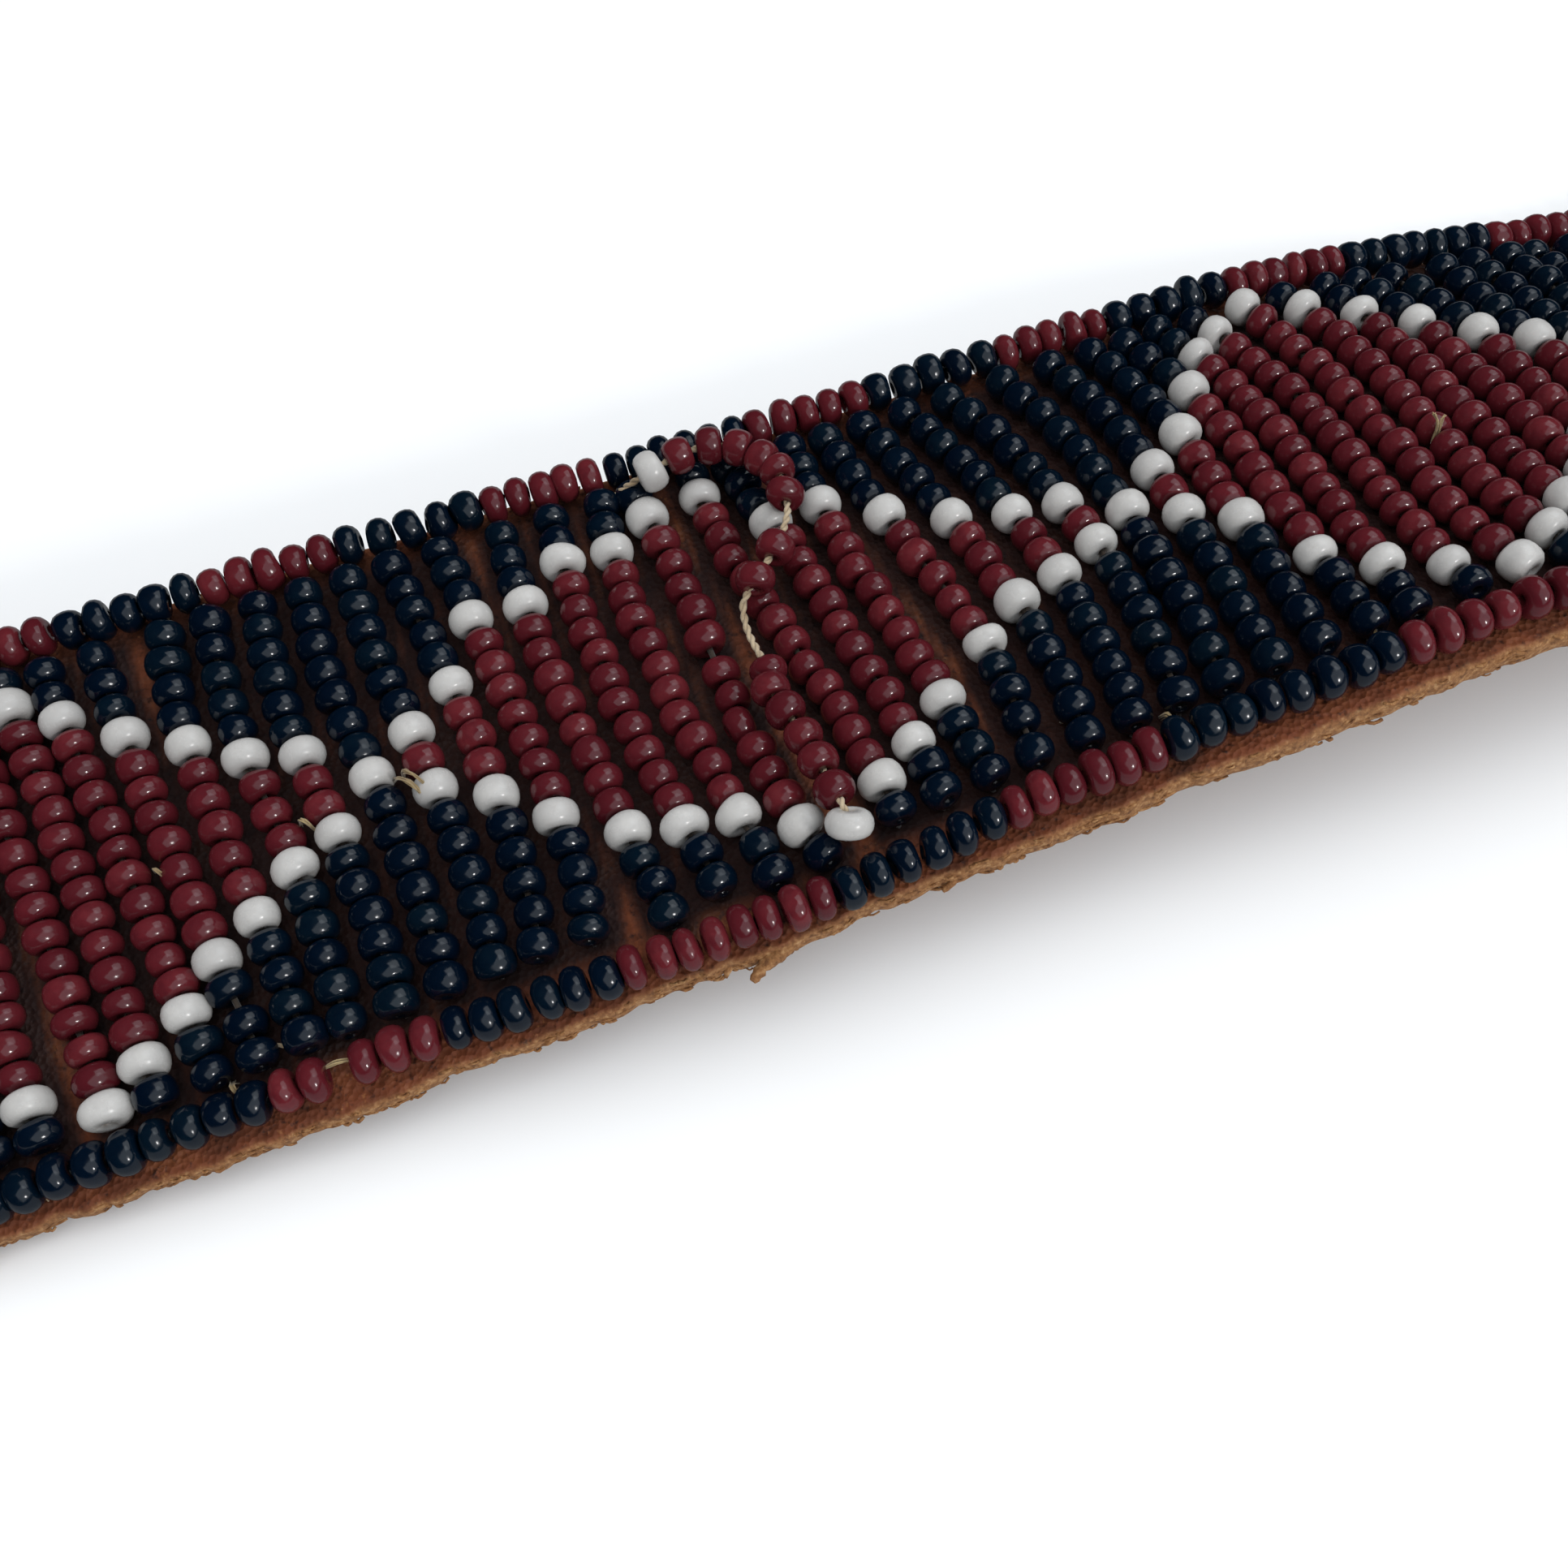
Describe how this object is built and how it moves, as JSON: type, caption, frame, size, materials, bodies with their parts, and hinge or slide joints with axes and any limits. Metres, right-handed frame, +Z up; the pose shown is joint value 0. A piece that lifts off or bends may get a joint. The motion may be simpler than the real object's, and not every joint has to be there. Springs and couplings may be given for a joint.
{
  "type": "beaded leather belt",
  "caption": "Leather belt with a field of glass seed beads in a diamond pattern, a bead string along each edge, punched holes and a plain prong buckle.",
  "frame": {"origin": "centre of the belt's box, on the surface that it lies on", "axes": "+X along the belt from the buckle to the tip, +Y across it from the near edge to the far edge, +Z up out of the beaded face"},
  "size_m": [0.9582, 0.05, 0.0156],
  "materials": {
    "leather": "tan leather with a mottled worn face and a raw suede-like cut edge",
    "buckle_metal": "plain worn brass",
    "dark_beads": "opaque glossy navy-black glass",
    "red_beads": "opaque glossy brick-red glass",
    "white_beads": "opaque glossy off-white glass",
    "thread": "cream two-ply cotton thread"
  },
  "bodies": {
    "root": {"strap": "leather", "buckle": "buckle_metal", "bead_field_buckle_side": "dark_beads", "bead_field_tip_side": "dark_beads", "edge_string_near": "dark_beads", "edge_string_far": "red_beads", "loose_string": "red_beads"}
  },
  "joints": []
}
